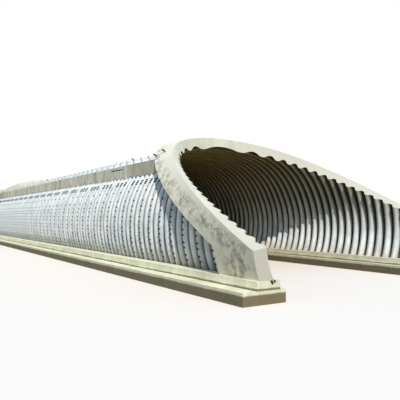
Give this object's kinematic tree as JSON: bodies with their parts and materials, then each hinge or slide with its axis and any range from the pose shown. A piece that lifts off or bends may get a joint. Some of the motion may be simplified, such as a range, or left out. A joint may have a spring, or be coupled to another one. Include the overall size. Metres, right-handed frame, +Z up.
{
  "type": "corrugated steel arch bridge (1:2 scale model)",
  "caption": "Half-size model of a buried-arch bridge: a corrugated steel barrel with sloped ends, cast concrete collars, shoulder beams and strip footings.",
  "frame": {"origin": "on the ground under the middle of the barrel, midway between the footings", "axes": "+X across the span to the right wall, +Y along the barrel to the far end, +Z up"},
  "size_m": [4.9702, 22.0104, 2.7314],
  "materials": {
    "galvanized_sheet": "hot-dip galvanized, dull spangle, dusty",
    "galvanized_channel": "hot-dip galvanized",
    "collar_concrete": "cast concrete, mottled",
    "beam_concrete": "cast concrete, weathered and streaked",
    "footing_concrete": "cast concrete, mud-stained"
  },
  "bodies": {
    "root": {"base_channel_left": "galvanized_channel", "base_channel_right": "galvanized_channel", "collar_far": "collar_concrete", "collar_near": "collar_concrete", "crown_plates_far": "galvanized_sheet", "crown_plates_middle": "galvanized_sheet", "crown_plates_near": "galvanized_sheet", "footing_pad_left": "footing_concrete", "footing_pad_right": "footing_concrete", "footing_stem_left": "footing_concrete", "footing_stem_right": "footing_concrete", "lower_end_plates_far_left": "galvanized_sheet", "lower_end_plates_far_right": "galvanized_sheet", "lower_end_plates_near_left": "galvanized_sheet", "lower_end_plates_near_right": "galvanized_sheet", "lower_plates_far_left": "galvanized_sheet", "lower_plates_far_right": "galvanized_sheet", "lower_plates_near_left": "galvanized_sheet", "lower_plates_near_right": "galvanized_sheet", "shoulder_end_plates_far_left": "galvanized_sheet", "shoulder_end_plates_far_right": "galvanized_sheet", "shoulder_end_plates_near_left": "galvanized_sheet", "shoulder_end_plates_near_right": "galvanized_sheet", "shoulder_plates_far_left": "galvanized_sheet", "shoulder_plates_far_right": "galvanized_sheet", "shoulder_plates_near_left": "galvanized_sheet", "shoulder_plates_near_right": "galvanized_sheet", "thrust_beam_far_left": "beam_concrete", "thrust_beam_far_right": "beam_concrete", "thrust_beam_middle_left": "beam_concrete", "thrust_beam_middle_right": "beam_concrete", "thrust_beam_near_left": "beam_concrete", "thrust_beam_near_right": "beam_concrete", "upper_end_plates_far_left": "galvanized_sheet", "upper_end_plates_far_right": "galvanized_sheet", "upper_end_plates_near_left": "galvanized_sheet", "upper_end_plates_near_right": "galvanized_sheet", "upper_plates_far_left": "galvanized_sheet", "upper_plates_far_right": "galvanized_sheet", "upper_plates_near_left": "galvanized_sheet", "upper_plates_near_right": "galvanized_sheet"}
  },
  "joints": []
}
